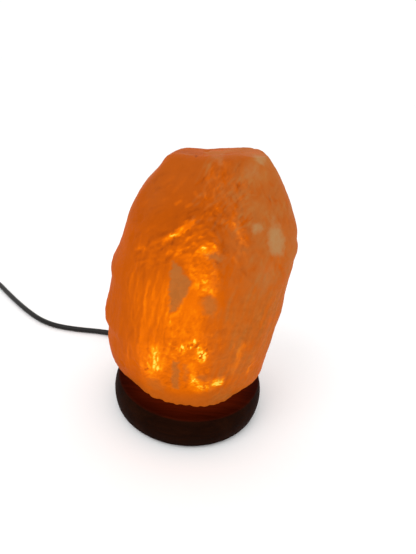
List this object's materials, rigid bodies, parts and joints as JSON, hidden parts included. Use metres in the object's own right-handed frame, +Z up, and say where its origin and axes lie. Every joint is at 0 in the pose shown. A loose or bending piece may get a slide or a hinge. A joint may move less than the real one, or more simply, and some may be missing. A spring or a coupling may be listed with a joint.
{
  "type": "salt crystal lamp",
  "caption": "Free-standing table lamp: a hewn salt block on a turned wooden base, lit from inside by a small screw-in bulb, with a mains lead, in-line dimmer and plug.",
  "frame": {"origin": "middle of the wooden base, at table level under the rubber feet", "axes": "+Z up, along the bulb's axis; +X to the right and +Y to the back as the lamp is seen from the front"},
  "size_m": [0.3933, 0.2794, 0.2146],
  "materials": {
    "salt": "natural rock salt, hewn and translucent, lit from inside",
    "dark_wood": "dark stained and oiled",
    "rubber": "matt moulded rubber",
    "steel": "zinc plated",
    "nylon": "matt moulded nylon",
    "holder_plastic": "matt moulded, heat resistant",
    "brass": "bright",
    "clip_steel": "spring steel",
    "clear_glass": "clear",
    "black_glass": "black glass insulator",
    "cap_metal": "nickel plated screw cap",
    "tungsten": "tungsten coil",
    "lead_sheath": "black flexible sheath, satin",
    "core_sheath": "insulated cores, brown and blue",
    "black_plastic": "black moulded plastic, fine texture",
    "board": "printed circuit board",
    "component": "moulded electronic part",
    "pin_metal": "nickel plated brass"
  },
  "bodies": {
    "lamp": {"salt_crystal": "salt", "wooden_base": "dark_wood", "rubber_feet": "rubber", "base_screws": "steel", "nylon_plugs": "nylon", "lead_lamp_side": "lead_sheath", "lead_coil_side": "lead_sheath", "lead_plug_side": "lead_sheath", "lead_in_base": "lead_sheath", "strain_relief_sleeve": "rubber", "lead_coil": "lead_sheath", "coil_tie": "black_plastic", "dimmer_case_low": "black_plastic", "dimmer_case_up": "black_plastic", "dimmer_screws": "steel", "dimmer_board": "board", "potentiometer": "component", "dimmer_triac": "component", "dimmer_capacitor": "component", "plug_body": "black_plastic", "plug_pins": "pin_metal", "plug_tail": "rubber"},
    "holder": {"holder_barrel": "holder_plastic", "holder_cover": "holder_plastic", "cover_screws": "steel", "socket_shell": "brass", "centre_contact": "brass", "side_contact": "brass", "spring_clips": "clip_steel", "terminal_blocks": "brass", "terminal_screws": "steel", "cord_grip": "nylon", "grip_screws": "steel", "lead_cores": "core_sheath"},
    "bulb_rise_body": {"bulb_foot_contact": "cap_metal"},
    "bulb": {"bulb_insulator": "black_glass", "bulb_cap": "cap_metal", "bulb_glass": "clear_glass", "bulb_stem": "clear_glass", "bulb_lead_wires": "cap_metal", "bulb_filament": "tungsten"},
    "dial": {"dimmer_dial": "black_plastic"}
  },
  "joints": [
    {"name": "holder_pull", "type": "slide", "parent": "lamp", "child": "holder", "axis": [0, 0, -1], "range_m": [0, 0.078], "deforming": ["lead_in_base"]},
    {"name": "bulb_rise", "type": "slide", "parent": "holder", "child": "bulb_rise_body", "axis": [0, 0, 1], "range_m": [0, 0.01254]},
    {"name": "bulb_unscrew", "type": "hinge", "parent": "bulb_rise_body", "child": "bulb", "pos_m": [0, 0, 0.03], "axis": [0, 0, 1], "range_deg": [0, 1600]},
    {"name": "dimmer_turn", "type": "hinge", "parent": "lamp", "child": "dial", "pos_m": [-0.3094, 0.087, 0.02], "axis": [0, 0, -1], "range_deg": [0, 270]}
  ],
  "couplings": [
    {"joint": "bulb_unscrew", "follows": "bulb_rise", "rad_per_m": 2226.5}
  ]
}
